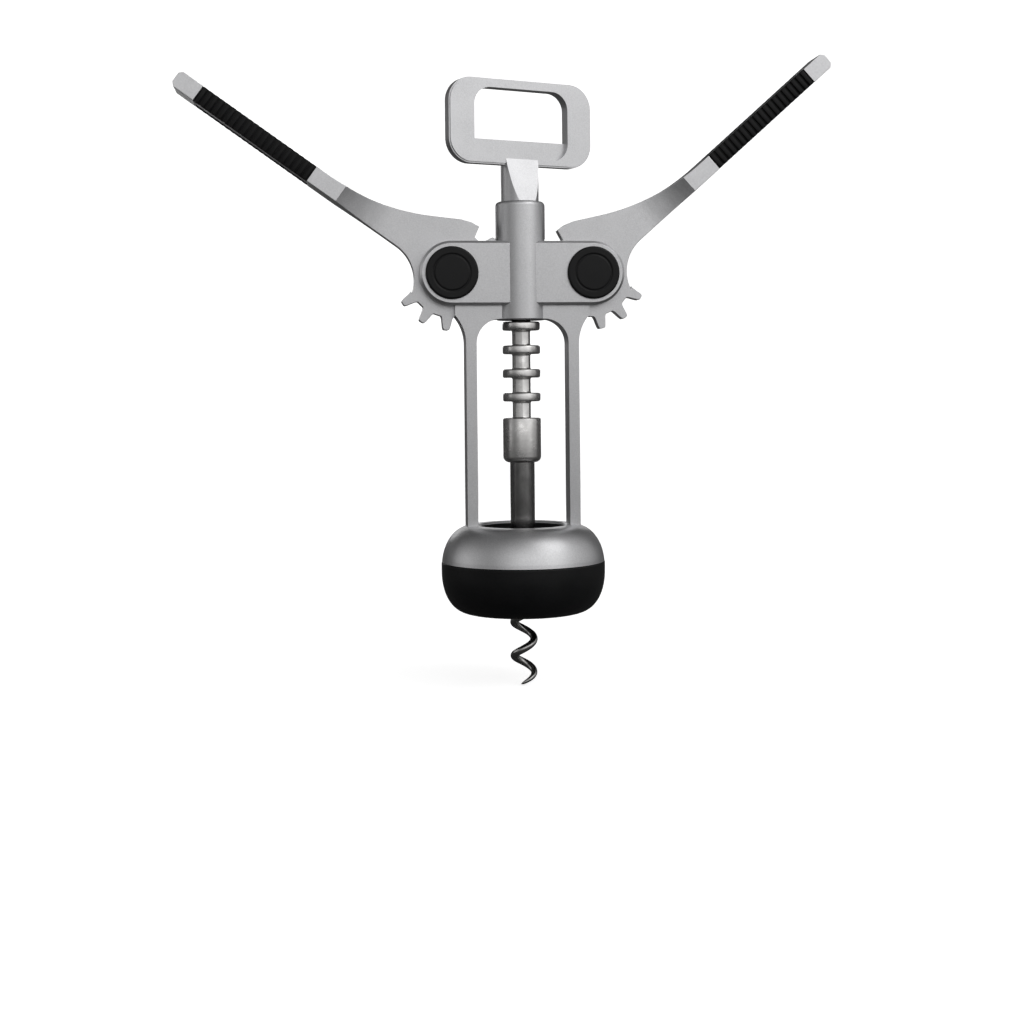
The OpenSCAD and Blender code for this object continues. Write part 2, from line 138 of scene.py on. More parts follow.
class GripSettings(bpy.types.PropertyGroup):
    """Ribbed pads on the levers."""

    rib_count: IntProperty(name="Ribs", description="Ribs along a pad", default=20, min=4)
    start: FloatProperty(
        name="Start", description="From the pivot to the start of the pad",
        default=0.0620, unit="LENGTH")
    length: FloatProperty(name="Length", description="Length of the pad", default=0.0494, unit="LENGTH")
    width: FloatProperty(name="Width", description="Width of the pad", default=0.0064, unit="LENGTH")
    outer: FloatProperty(
        name="Outer face", description="From the lever's middle to the tops of the ribs",
        default=0.0070, unit="LENGTH")
    thickness: FloatProperty(
        name="Thickness", description="Thickness of the pad with its ribs",
        default=0.0026, unit="LENGTH")
    groove: FloatProperty(
        name="Groove width", description="Gap between two ribs", default=0.0008, unit="LENGTH")
    depth: FloatProperty(
        name="Groove depth", description="Depth of the grooves", default=0.0007, unit="LENGTH")
    left_angle: FloatProperty(
        name="Left angle", description="Rise of the left lever over level",
        default=math.radians(35.5), subtype="ANGLE")
    right_angle: FloatProperty(
        name="Right angle", description="Rise of the right lever over level",
        default=math.radians(41.7), subtype="ANGLE")


class RackSettings(bpy.types.PropertyGroup):
    """The turned spindle with its rack of rings."""

    ring_radius: FloatProperty(
        name="Ring radius", description="Radius of the rings, collar and neck",
        default=0.00705, unit="LENGTH")
    core_radius: FloatProperty(
        name="Core radius", description="Radius between the rings", default=0.0034, unit="LENGTH")
    ring_height: FloatProperty(
        name="Ring height", description="Thickness of a ring", default=0.0032, unit="LENGTH")
    ring_edge: FloatProperty(
        name="Ring edge", description="Rounding of a ring's rim", default=0.0007, unit="LENGTH")
    pitch: FloatProperty(
        name="Pitch", description="From one ring to the next", default=0.0088, unit="LENGTH")
    first_ring: FloatProperty(
        name="First ring", description="Height of the lowest ring", default=0.0797, unit="LENGTH")
    ring_count: IntProperty(name="Rings", description="Number of rings", default=8, min=2)
    seed: IntProperty(name="Seed", description="Turns the rings' rough spots", default=7)
    shank_radius: FloatProperty(
        name="Shank radius", description="Radius of the steel shank", default=0.00455, unit="LENGTH")


class WormSettings(bpy.types.PropertyGroup):
    """The wire coil that enters the cork."""

    wire_radius: FloatProperty(
        name="Wire radius", description="Radius of the wire", default=0.0014, unit="LENGTH")
    coil_radius: FloatProperty(
        name="Coil radius", description="From the axis to the wire's middle",
        default=0.0037, unit="LENGTH")
    top: FloatProperty(
        name="Top", description="Height at which the wire leaves the shank",
        default=0.0235, unit="LENGTH")
    rise: FloatProperty(
        name="Rise", description="Rise of the coil in one turn", default=0.0125, unit="LENGTH")
    turns: FloatProperty(name="Turns", description="Turns of the coil", default=4.0)
    start: FloatProperty(
        name="Start", description="Direction in which the wire leaves the axis",
        default=math.radians(245), subtype="ANGLE")
    sides: IntProperty(name="Sides", description="Points round the wire", default=20, min=6)


class CameraSettings(bpy.types.PropertyGroup):
    """Where the camera stands."""

    azimuth: FloatProperty(
        name="Azimuth", description="Turn of the camera round the object from the front",
        default=math.radians(-7.1), subtype="ANGLE")
    distance: FloatProperty(
        name="Distance", description="From the camera to the spindle axis",
        default=0.5959, unit="LENGTH")
    eye_height: FloatProperty(
        name="Eye height", description="Height of the camera over the foot",
        default=0.0854, unit="LENGTH")
    lens: FloatProperty(name="Lens", description="Focal length", default=56.25, unit="CAMERA")
    lean: FloatProperty(
        name="Lean", description="Roll of the camera", default=math.radians(-0.56), subtype="ANGLE")


SETTINGS = {
    "corkscrew_finish": FinishSettings,
    "corkscrew_edges": EdgeSettings,
    "corkscrew_guide": GuideSettings,
    "corkscrew_grips": GripSettings,
    "corkscrew_rack": RackSettings,
    "corkscrew_worm": WormSettings,
    "corkscrew_camera": CameraSettings,
}


# ---- shader node groups -----------------------------------------------------


def new_group(name, inputs, outputs):
    """A shader node group with float, vector or colour sockets given as (name, type, default)."""
    tree = bpy.data.node_groups.new(name, "ShaderNodeTree")
    for socket_name, kind, default in inputs:
        socket = tree.interface.new_socket(socket_name, in_out="INPUT", socket_type=kind)
        if default is not None:
            socket.default_value = default
    for socket_name, kind in outputs:
        tree.interface.new_socket(socket_name, in_out="OUTPUT", socket_type=kind)
    return tree, tree.nodes.new("NodeGroupInput"), tree.nodes.new("NodeGroupOutput")


def noise_node(tree, vector, scale, detail=2.0, roughness=0.5):
    node = tree.nodes.new("ShaderNodeTexNoise")
    node.inputs["Detail"].default_value = detail
    node.inputs["Roughness"].default_value = roughness
    link_or_set(tree, node.inputs["Scale"], scale)
    tree.links.new(vector, node.inputs["Vector"])
    return node.outputs["Fac"]


def link_or_set(tree, socket, value):
    if hasattr(value, "is_output"):
        tree.links.new(value, socket)
    else:
        socket.default_value = value


def math_node(tree, operation, a, b=None, clamp=False):
    node = tree.nodes.new("ShaderNodeMath")
    node.operation = operation
    node.use_clamp = clamp
    link_or_set(tree, node.inputs[0], a)
    if b is not None:
        link_or_set(tree, node.inputs[1], b)
    return node.outputs[0]


def ramp(tree, value, low, high, to_low=0.0, to_high=1.0):
    node = tree.nodes.new("ShaderNodeMapRange")
    node.clamp = True
    tree.links.new(value, node.inputs["Value"])
    for socket, number in (("From Min", low), ("From Max", high), ("To Min", to_low), ("To Max", to_high)):
        link_or_set(tree, node.inputs[socket], number)
    return node.outputs["Result"]


def mix_colour(tree, factor, a, b):
    node = tree.nodes.new("ShaderNodeMix")
    node.data_type = "RGBA"
    link_or_set(tree, node.inputs["Factor"], factor)
    link_or_set(tree, node.inputs["A"], a)
    link_or_set(tree, node.inputs["B"], b)
    return node.outputs["Result"]


def grain_group():
    """Fine blasted grain: a height for the bump, and a slow tone that varies the colour."""
    tree, enter, leave = new_group(
        "Blasted grain",
        [("Vector", "NodeSocketVector", None), ("Grains per metre", "NodeSocketFloat", 2200.0),
         ("Cloud size", "NodeSocketFloat", 120.0)],
        [("Height", "NodeSocketFloat"), ("Speckle", "NodeSocketFloat"), ("Cloud", "NodeSocketFloat")])
    vector = enter.outputs["Vector"]
    fine = noise_node(tree, vector, enter.outputs["Grains per metre"], 3.0, 0.6)
    slow = noise_node(tree, vector, enter.outputs["Cloud size"], 3.0, 0.55)
    coarse_scale = math_node(tree, "MULTIPLY", enter.outputs["Grains per metre"], 0.45)
    coarse = noise_node(tree, vector, coarse_scale, 2.0, 0.5)
    tree.links.new(math_node(tree, "ADD", fine, coarse), leave.inputs["Height"])
    tree.links.new(ramp(tree, fine, 0.35, 0.68), leave.inputs["Speckle"])
    tree.links.new(ramp(tree, slow, 0.30, 0.70), leave.inputs["Cloud"])
    return tree


def edge_group():
    """Wear and painted highlight along edges: a mask from the mesh's edge value, broken up by noise."""
    tree, enter, leave = new_group(
        "Edge wear and painted highlight",
        [("Vector", "NodeSocketVector", None), ("Edge", "NodeSocketFloat", 0.0),
         ("Amount", "NodeSocketFloat", 0.6)],
        [("Mask", "NodeSocketFloat")])
    patches = noise_node(tree, enter.outputs["Vector"], 420.0, 3.0, 0.6)
    patchy = ramp(tree, patches, 0.35, 0.6, 0.35, 1.0)
    mask = math_node(tree, "MULTIPLY", enter.outputs["Edge"], patchy)
    mask = math_node(tree, "MULTIPLY", mask, enter.outputs["Amount"], clamp=True)
    tree.links.new(mask, leave.inputs["Mask"])
    return tree


def turned_group():
    """Marks round a turned or drawn steel part: noise squeezed along Z."""
    tree, enter, leave = new_group(
        "Turned marks",
        [("Vector", "NodeSocketVector", None), ("Around", "NodeSocketFloat", 90.0),
         ("Along", "NodeSocketFloat", 2600.0)],
        [("Marks", "NodeSocketFloat"), ("Stain", "NodeSocketFloat")])
    scale = tree.nodes.new("ShaderNodeCombineXYZ")
    for axis, socket in (("X", "Around"), ("Y", "Around"), ("Z", "Along")):
        tree.links.new(enter.outputs[socket], scale.inputs[axis])
    stretch = tree.nodes.new("ShaderNodeVectorMath")
    stretch.operation = "MULTIPLY"
    tree.links.new(enter.outputs["Vector"], stretch.inputs[0])
    tree.links.new(scale.outputs[0], stretch.inputs[1])
    marks = noise_node(tree, stretch.outputs[0], 1.0, 3.0, 0.6)
    stain = noise_node(tree, enter.outputs["Vector"], 260.0, 4.0, 0.6)
    tree.links.new(marks, leave.inputs["Marks"])
    tree.links.new(ramp(tree, stain, 0.35, 0.7), leave.inputs["Stain"])
    return tree


GROUPS = {}


def group_node(tree, name, **values):
    if name not in GROUPS:
        GROUPS[name] = {"grain": grain_group, "edge": edge_group, "turned": turned_group}[name]()
    node = tree.nodes.new("ShaderNodeGroup")
    node.node_tree = GROUPS[name]
    coordinate = tree.nodes.new("ShaderNodeTexCoord")
    tree.links.new(coordinate.outputs["Object"], node.inputs["Vector"])
    for socket, value in values.items():
        link_or_set(tree, node.inputs[socket.replace("_", " ")], value)
    return node


def start_material(name):
    material = bpy.data.materials.new(name)
    material.use_nodes = True
    tree = material.node_tree
    return material, tree, tree.nodes["Principled BSDF"]


def bump(tree, shader, height, strength, distance):
    node = tree.nodes.new("ShaderNodeBump")
    node.inputs["Strength"].default_value = strength
    node.inputs["Distance"].default_value = distance
    tree.links.new(height, node.inputs["Height"])
    tree.links.new(node.outputs["Normal"], shader.inputs["Normal"])


def colour4(colour, gain=1.0):
    return (*[min(1.0, channel * gain) for channel in colour], 1.0)


def satin_casting():
    """Pearl-blasted zinc: soft metallic grey with a fine grain, edges lightened as wear and painted highlight, and
    painted shade in the inner corners.
    """
    finish = bpy.context.scene.corkscrew_finish
    material, tree, shader = start_material("satin casting")
    grain = group_node(tree, "grain", Grains_per_metre=1.0 / finish.grain_size)
    edge_value = tree.nodes.new("ShaderNodeAttribute")
    edge_value.attribute_name = "edge"
    edge = group_node(tree, "edge", Edge=edge_value.outputs["Fac"], Amount=0.9)
    base = mix_colour(tree, grain.outputs["Cloud"], colour4(finish.casting_colour, 0.95),
                      colour4(finish.casting_colour, 1.03))
    speck = mix_colour(tree, grain.outputs["Speckle"], colour4(finish.casting_colour, 0.86), base)
    # the outer edges are lightened towards pale grey: partly wear, partly painted highlight
    worn_and_highlit = mix_colour(tree, edge.outputs["Mask"], speck, (0.86, 0.86, 0.87, 1.0))
    # painted shade: the inner corners of the rounding are darkened towards near black, where shade falls
    crevice = tree.nodes.new("ShaderNodeAttribute")
    crevice.attribute_name = "crevice"
    painted_shade = math_node(tree, "MULTIPLY", crevice.outputs["Fac"], 0.9)
    tree.links.new(mix_colour(tree, painted_shade, worn_and_highlit, (0.06, 0.06, 0.06, 1.0)), shader.inputs["Base Color"])
    rough = ramp(tree, grain.outputs["Cloud"], 0.0, 1.0,
                 finish.casting_roughness - 0.03, finish.casting_roughness + 0.04)
    rough = math_node(tree, "SUBTRACT", rough, math_node(tree, "MULTIPLY", edge.outputs["Mask"], 0.12))
    tree.links.new(rough, shader.inputs["Roughness"])
    shader.inputs["Metallic"].default_value = 1.0
    bump(tree, shader, grain.outputs["Height"], 0.22, 0.00006)
    return material


def turned_steel(name, colour, roughness, around, along, strength):
    """Steel with marks from turning or drawing, a little stained."""
    material, tree, shader = start_material(name)
    turned = group_node(tree, "turned", Around=around, Along=along)
    tone = mix_colour(tree, turned.outputs["Stain"], colour4(colour, 0.72), colour4(colour, 1.12))
    marked = mix_colour(tree, ramp(tree, turned.outputs["Marks"], 0.35, 0.65),
                        colour4(colour, 0.8), tone)
    tree.links.new(marked, shader.inputs["Base Color"])
    tree.links.new(ramp(tree, turned.outputs["Stain"], 0.0, 1.0, roughness + 0.08, roughness - 0.04),
                   shader.inputs["Roughness"])
    shader.inputs["Metallic"].default_value = 1.0
    bump(tree, shader, turned.outputs["Marks"], strength, 0.00005)
    return material


def black_moulding(name, colour, roughness, grain_size, strength, shine=0.2):
    """Black plastic or rubber with a fine spark-eroded texture and faint dust."""
    material, tree, shader = start_material(name)
    grain = group_node(tree, "grain", Grains_per_metre=1.0 / grain_size, Cloud_size=90.0)
    tone = mix_colour(tree, grain.outputs["Cloud"], colour4(colour, 0.85), colour4(colour, 1.35))
    dust = mix_colour(tree, math_node(tree, "MULTIPLY", grain.outputs["Speckle"], 0.12), tone,
                      (0.02, 0.02, 0.021, 1.0))
    tree.links.new(dust, shader.inputs["Base Color"])
    tree.links.new(ramp(tree, grain.outputs["Cloud"], 0.0, 1.0, roughness - 0.04, roughness + 0.05),
                   shader.inputs["Roughness"])
    shader.inputs["Specular IOR Level"].default_value = shine
    bump(tree, shader, grain.outputs["Height"], strength, 0.00005)
    return material


MATERIALS = {}


def scaled(colour, amount):
    """The colour made lighter or darker."""
    return tuple(c * amount for c in colour)


def material_for(slot):
    """The finish of one of the record's slots, made when it is first asked for."""
    finish = bpy.context.scene.corkscrew_finish
    steel = tuple(finish.steel_colour)
    black = tuple(finish.black_colour)
    makers = {
        "satin_casting": satin_casting,
        "rack_steel": lambda: turned_steel("rack steel", scaled(steel, 1.95), 0.27, 420.0, 900.0, 0.5),
        "shank_steel": lambda: turned_steel("shank steel", scaled(steel, 1.1), 0.18, 700.0, 12.0, 0.75),
        "worm_steel": lambda: turned_steel("worm steel", scaled(steel, 1.1), 0.2, 500.0, 500.0, 0.2),
        "pin_steel": lambda: turned_steel("pin steel", (0.55, 0.55, 0.55), 0.3, 300.0, 300.0, 0.1),
        "washer_brass": lambda: turned_steel("washer brass", (0.7, 0.55, 0.28), 0.32, 400.0, 400.0, 0.1),
        "black_foot": lambda: black_moulding("black foot", black, 0.42, 0.0005, 0.12),
        "black_plastic": lambda: black_moulding("black nylon", black, 0.5, 0.0006, 0.15),
        "black_cap": lambda: black_moulding("black cap", scaled(black, 1.4), 0.46, 0.0004, 0.15),
        "black_grip": lambda: black_moulding("black grip", scaled(black, 0.9), 0.55, 0.00035, 0.3),
    }
    if slot not in MATERIALS:
        MATERIALS[slot] = makers[slot]()
    return MATERIALS[slot]


# ---- mesh helpers -----------------------------------------------------------


def slot_of(node):
    return next(s["material_slot"] for s in frame["record"]["subparts"] if s["node"] == node)


def body_with(node):
    bodies = frame["record"]["behaviour"]["bodies"]
    return next(name for name, nodes in bodies.items() if node in nodes)


def finish_piece(obj, node, replaced=None):
    """Gives a piece its material and its body, and hides the CAD nodes that it stands for."""
    slot = slot_of(node)
    obj.data.materials.clear()
    obj.data.materials.append(material_for(slot))
    obj.data.polygons.foreach_set("material_index", [0] * len(obj.data.polygons))
    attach(obj, body_with(node))
    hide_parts(*(replaced or [node]))
    return obj


def object_from(bm, name):
    mesh = bpy.data.meshes.new(name)
    bm.to_mesh(mesh)
    bm.free()
    obj = bpy.data.objects.new(name, mesh)
    bpy.context.scene.collection.objects.link(obj)
    return obj


def applied(obj):
    """Turns the evaluated object into a plain mesh and drops its modifiers."""
    graph = bpy.context.evaluated_depsgraph_get()
    mesh = bpy.data.meshes.new_from_object(obj.evaluated_get(graph))
    obj.modifiers.clear()
    obj.data = mesh
    return obj


def smooth_by_angle(mesh, degrees):
    mesh.shade_smooth()
    mesh.set_sharp_from_angle(angle=math.radians(degrees))


def cad_copy(node, name):
    """A merged copy of a CAD node with its flat faces joined up again."""
    bm = bmesh.new()
    bm.from_mesh(frame["nodes"][node].data)
    bmesh.ops.remove_doubles(bm, verts=bm.verts, dist=1e-6)
    bmesh.ops.dissolve_limit(bm, angle_limit=math.radians(0.6), verts=bm.verts, edges=bm.edges,
                             use_dissolve_boundaries=False)
    return object_from(bm, name)


def mark_edges(mesh, strip):
    """Marks the corners of rounding strips: "edge" on outer edges and "crevice" on inner ones."""
    bm = bmesh.new()
    bm.from_mesh(mesh)
    values = {"edge": [0.0] * len(mesh.loops), "crevice": [0.0] * len(mesh.loops)}
    for face in bm.faces:
        if face.material_index == strip:
            bend = sum(edge.calc_face_angle_signed(0.0) for edge in face.edges)
            name = "edge" if bend > 0 else "crevice"
            for loop in face.loops:
                values[name][loop.index] = 1.0
    bm.free()
    for name, numbers in values.items():
        mesh.attributes.new(name, "FLOAT", "CORNER").data.foreach_set("value", numbers)
    mesh.polygons.foreach_set("material_index", [0] * len(mesh.polygons))


def rounded_copy(node, width, steps):
    """A CAD node's copy with its hard edges rounded, as a casting's are."""
    obj = cad_copy(node, node + "_finished")
    mesh = obj.data
    mesh.shade_smooth()
    mesh.set_sharp_from_angle(angle=math.radians(16))
    mesh.materials.clear()
    mesh.polygons.foreach_set("material_index", [0] * len(mesh.polygons))
    for _ in range(2):
        mesh.materials.append(None)
    bevel = obj.modifiers.new("Bevel", "BEVEL")
    bevel.width = width
    bevel.segments = steps
    bevel.limit_method = "ANGLE"
    bevel.angle_limit = math.radians(28)
    bevel.material = 1
    normals = obj.modifiers.new("Normals", "WEIGHTED_NORMAL")
    normals.keep_sharp = True
    applied(obj)
    mark_edges(obj.data, 1)
    return obj


def lathe(bm, profile, sides, closed=False, shape=None):
    """Turns a profile of (radius, height) round Z; shape may change the radius by angle and height."""
    rings = []
    for radius, height in profile:
        if radius < 1e-7:
            rings.append([bm.verts.new((0.0, 0.0, height))])
            continue
        ring = []
        for k in range(sides):
            angle = 2 * math.pi * k / sides
            r = radius * (shape(angle, radius, height) if shape else 1.0)
            ring.append(bm.verts.new((r * math.cos(angle), r * math.sin(angle), height)))
        rings.append(ring)
    pairs = list(zip(rings, rings[1:]))
    if closed:
        pairs.append((rings[-1], rings[0]))
    for lower, upper in pairs:
        for k in range(sides):
            n = (k + 1) % sides
            corners = [lower[k % len(lower)], lower[n % len(lower)],
                       upper[n % len(upper)], upper[k % len(upper)]]
            unique = [v for i, v in enumerate(corners) if v not in corners[:i]]
            if len(unique) > 2:
                bm.faces.new(unique)
    bmesh.ops.recalc_face_normals(bm, faces=bm.faces)


def arc(centre, radius, start, end, steps=5):
    """Points of (radius, height) on an arc given in degrees."""
    angles = [math.radians(start + (end - start) * i / steps) for i in range(steps + 1)]
    return [(centre[0] + radius * math.cos(a), centre[1] + radius * math.sin(a)) for a in angles]


def softened_box(bm, low, high, edge):
    """A box between two corners with its edges rounded."""
    centre = (Vector(low) + Vector(high)) / 2
    size = Vector(high) - Vector(low)
    place = Matrix.Translation(centre) @ Matrix.Diagonal((*size, 1.0))
    made = bmesh.ops.create_cube(bm, size=1.0, matrix=place)
    edges = {e for v in made["verts"] for e in v.link_edges}
    bmesh.ops.bevel(bm, geom=list(edges), offset=edge, segments=2, profile=0.5, affect="EDGES",
                    clamp_overlap=True)


# ---- repeats with geometry nodes --------------------------------------------


def line_of_copies():
    """Node tree: joins the geometry with copies of a unit object set out along a line."""
    tree = bpy.data.node_groups.new("Copies along a line", "GeometryNodeTree")
    sockets = {}
    for name, kind in (("Geometry", "NodeSocketGeometry"), ("Unit", "NodeSocketObject"),
                       ("Count", "NodeSocketInt"), ("Start", "NodeSocketVector"),
                       ("Step", "NodeSocketVector"), ("Spin", "NodeSocketFloat"),
                       ("Seed", "NodeSocketInt"), ("Material", "NodeSocketMaterial")):
        sockets[name] = tree.interface.new_socket(name, in_out="INPUT", socket_type=kind).identifier
    tree.interface.new_socket("Geometry", in_out="OUTPUT", socket_type="NodeSocketGeometry")
    enter = tree.nodes.new("NodeGroupInput").outputs
    leave = tree.nodes.new("NodeGroupOutput").inputs
    line = tree.nodes.new("GeometryNodeMeshLine")
    line.mode = "OFFSET"
    tree.links.new(enter["Count"], line.inputs["Count"])
    tree.links.new(enter["Start"], line.inputs["Start Location"])
    tree.links.new(enter["Step"], line.inputs["Offset"])
    unit = tree.nodes.new("GeometryNodeObjectInfo")
    unit.inputs["As Instance"].default_value = True
    tree.links.new(enter["Unit"], unit.inputs["Object"])
    chance = tree.nodes.new("FunctionNodeRandomValue")
    chance.data_type = "FLOAT"
    tree.links.new(enter["Spin"], chance.inputs[3])
    tree.links.new(enter["Seed"], chance.inputs["Seed"])
    turn = tree.nodes.new("ShaderNodeCombineXYZ")
    tree.links.new(chance.outputs[1], turn.inputs["Z"])
    spin = tree.nodes.new("FunctionNodeEulerToRotation")
    tree.links.new(turn.outputs[0], spin.inputs[0])
    copies = tree.nodes.new("GeometryNodeInstanceOnPoints")
    tree.links.new(line.outputs["Mesh"], copies.inputs["Points"])
    tree.links.new(unit.outputs["Geometry"], copies.inputs["Instance"])
    tree.links.new(spin.outputs[0], copies.inputs["Rotation"])
    join = tree.nodes.new("GeometryNodeJoinGeometry")
    tree.links.new(enter["Geometry"], join.inputs[0])
    tree.links.new(copies.outputs[0], join.inputs[0])
    real = tree.nodes.new("GeometryNodeRealizeInstances")
    tree.links.new(join.outputs[0], real.inputs[0])
    paint = tree.nodes.new("GeometryNodeSetMaterial")
    tree.links.new(real.outputs[0], paint.inputs["Geometry"])
    tree.links.new(enter["Material"], paint.inputs["Material"])
    tree.links.new(paint.outputs[0], leave["Geometry"])
    return tree, sockets


def with_copies(base, unit, count, start, step, slot, spin=0.0, seed=0):
    """Adds copies of the unit to the base mesh and drops the unit object."""
    if "copies" not in GROUPS:
        GROUPS["copies"] = line_of_copies()
    tree, sockets = GROUPS["copies"]
    modifier = base.modifiers.new("Copies", "NODES")
    modifier.node_group = tree
    for name, value in (("Unit", unit), ("Count", count), ("Start", tuple(start)), ("Step", tuple(step)),
                        ("Spin", spin), ("Seed", seed), ("Material", material_for(slot))):
        modifier[sockets[name]] = value
    base.update_tag()
    bpy.context.view_layer.update()
    applied(base)
    bpy.data.objects.remove(unit)
    return base


# ---- operators --------------------------------------------------------------


class PieceOperator:
    bl_options = {"REGISTER", "UNDO"}


class CORKSCREW_OT_castings(PieceOperator, bpy.types.Operator):
    """Build the frame, the levers and the handle with rounded cast edges"""

    bl_idname = "corkscrew.castings"
    bl_label = "Castings"

    def execute(self, context):
        edges = context.scene.corkscrew_edges
        for node in ("frame_casting", "lever_left", "lever_right", "handle"):
            finish_piece(rounded_copy(node, edges.casting_edge, edges.edge_steps), node)
        return {"FINISHED"}


class CORKSCREW_OT_mouldings(PieceOperator, bpy.types.Operator):
    """Build the foot ring, the pivot caps and the bush with softened edges"""

    bl_idname = "corkscrew.mouldings"
    bl_label = "Mouldings"

    def execute(self, context):
        edges = context.scene.corkscrew_edges
        for node in ("foot_ring", "front_cap_left", "front_cap_right", "back_cap_left",
                     "back_cap_right", "spindle_bush"):
            finish_piece(rounded_copy(node, edges.moulding_edge, edges.edge_steps), node)
        return {"FINISHED"}


class CORKSCREW_OT_guide(PieceOperator, bpy.types.Operator):
    """Build the black neck guide, whose collar lines the mouth of the bell with black as painted shade"""

    bl_idname = "corkscrew.guide"
    bl_label = "Neck guide"

    def execute(self, context):
        guide = context.scene.corkscrew_guide
        seat_low = guide.top - guide.seat
        profile = [
            (guide.bore + 0.0012, guide.bottom), (guide.radius - 0.0004, guide.bottom),
            (guide.radius, guide.bottom + 0.0004), (guide.radius, guide.top),
            # the collar: a thin black lining that paints the shade inside the bell's mouth
            (guide.shade_lining_radius, guide.top), (guide.shade_lining_radius, guide.collar_top),
            (guide.shade_lining_radius - guide.shade_lining_wall, guide.collar_top),
            (guide.shade_lining_radius - guide.shade_lining_wall, guide.top + 0.0004),
            (guide.shade_lining_radius - guide.shade_lining_wall - 0.0004, guide.top),
            (guide.hole + 0.001, guide.top), (guide.hole, guide.top - 0.001), (guide.hole, seat_low),
            (guide.bore - 0.0006, seat_low), (guide.bore, seat_low - 0.0006),
            (guide.bore, guide.bottom + 0.002)]
        bm = bmesh.new()
        lathe(bm, profile, 128, closed=True)
        obj = object_from(bm, "neck_guide_lined")
        smooth_by_angle(obj.data, 30)
        finish_piece(obj, "neck_guide")
        return {"FINISHED"}


class CORKSCREW_OT_small_parts(PieceOperator, bpy.types.Operator):
    """Build the pins and washers with broken edges"""

    bl_idname = "corkscrew.small_parts"
    bl_label = "Pins and washers"

    def execute(self, context):
        edges = context.scene.corkscrew_edges
        for node in ("pivot_pin_left", "pivot_pin_right", "washers_left", "washers_right", "handle_pin"):
            finish_piece(rounded_copy(node, edges.pin_edge, 1), node)
        return {"FINISHED"}


class CORKSCREW_OT_grips(PieceOperator, bpy.types.Operator):
    """Build the ribbed pads on both levers"""

    bl_idname = "corkscrew.grips"
    bl_label = "Grips"

    def execute(self, context):
        grip = context.scene.corkscrew_grips
        pitch = grip.length / grip.rib_count
        half = grip.width / 2
        floor = grip.outer - grip.depth
        inner = grip.outer - grip.thickness
        for side, angle in (("left", grip.left_angle - math.pi), ("right", -grip.right_angle)):
            pivot = Vector(JOINTS[f"lever_{side}_pivot"]["pos_m"])
            turn = Matrix.Rotation(angle, 4, "Y")
            base, rib = bmesh.new(), bmesh.new()
            for low, high, out in ((-floor, -inner, -grip.outer), (inner, floor, grip.outer)):
                softened_box(base, (grip.start, low, -half), (grip.start + grip.length, high, half), 0.0002)
                near = min(out, out - math.copysign(grip.depth + 0.0003, out))
                far = max(out, out - math.copysign(grip.depth + 0.0003, out))
                reach = (pitch - grip.groove) / 2
                softened_box(rib, (-reach, near, -half), (reach, far, half), 0.00025)
            base.transform(Matrix.Translation(pivot) @ turn)
            rib.transform(turn)
            obj = object_from(base, f"grips_{side}")
            unit = object_from(rib, "rib")
            for mesh in (obj.data, unit.data):
                smooth_by_angle(mesh, 50)
            arm = turn.to_3x3() @ Vector((1.0, 0.0, 0.0))
            first = pivot + arm * (grip.start + pitch / 2)
            # ribs stand beside the grooves, half a pitch from each end
            with_copies(obj, unit, grip.rib_count, first, arm * pitch, "black_grip")
            finish_piece(obj, f"front_pad_{side}", [f"front_pad_{side}", f"back_pad_{side}"])
        return {"FINISHED"}


class CORKSCREW_OT_rack(PieceOperator, bpy.types.Operator):
    """Build the spindle's core and collar and set the rack's rings on it"""

    bl_idname = "corkscrew.rack"
    bl_label = "Rack"

    def execute(self, context):
        rack = context.scene.corkscrew_rack
        low, high = (Vector(corner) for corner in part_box("rack_spindle"))
        ring, core = rack.ring_radius, rack.core_radius
        collar_top = rack.first_ring - rack.pitch + rack.ring_height / 2 - 0.0005
        last = rack.first_ring + rack.pitch * (rack.ring_count - 1)
        stud, step = 0.004, last + rack.pitch / 2 - 0.0016
        profile = [(0.0, low.z), (ring - 0.0022, low.z)]
        profile += arc((ring - 0.0022, low.z + 0.0022), 0.0022, -90, 0, 8)
        profile += arc((ring - 0.0006, collar_top - 0.0006), 0.0006, 0, 90, 4)
        profile += [(core + 0.0006, collar_top)]
        profile += arc((core + 0.0006, collar_top + 0.0006), 0.0006, -90, -180, 4)
        profile += [(core, step - 0.0016), (stud, step - 0.001), (stud, high.z - 0.0003),
                    (stud - 0.0003, high.z), (0.0, high.z)]

        def faceted(angle, radius, height):
            """Eight soft flats on the core, as left by the die."""
            if radius > core + 0.0002 or height < collar_top:
                return 1.0
            part = math.pi / 4
            flat = math.cos(part / 2) / math.cos((angle % part) - part / 2)
            return 0.35 + 0.65 * flat

        bm = bmesh.new()
        lathe(bm, profile, 96, shape=faceted)
        obj = object_from(bm, "rack_turned")
        half, edge = rack.ring_height / 2, rack.ring_edge
        rim = [(core - 0.0004, -half - 0.0006)]
        rim += arc((core + 0.0006, -half - 0.0006), 0.0006, 180, 90, 4)
        rim += arc((ring - edge, edge - half), edge, -90, 0, 4)
        rim += arc((ring - edge, half - edge), edge, 0, 90, 4)
        rim += arc((core + 0.0006, half + 0.0006), 0.0006, -90, -180, 4)
        rim += [(core - 0.0004, half + 0.0006)]

        def uneven(angle, radius, height):
            """Slight waves round the rim, as on a part that is only rough turned."""
            return 1.0 - 0.010 * (1 + math.sin(3 * angle + 900 * height)) * (radius > core + 0.001)

        bm = bmesh.new()
        lathe(bm, rim, 72, closed=True, shape=uneven)
        unit = object_from(bm, "ring")
        for mesh in (obj.data, unit.data):
            smooth_by_angle(mesh, 30)
        with_copies(obj, unit, rack.ring_count, (0.0, 0.0, rack.first_ring), (0.0, 0.0, rack.pitch),
                    "rack_steel", spin=2 * math.pi, seed=rack.seed)
        finish_piece(obj, "rack_spindle")
        return {"FINISHED"}


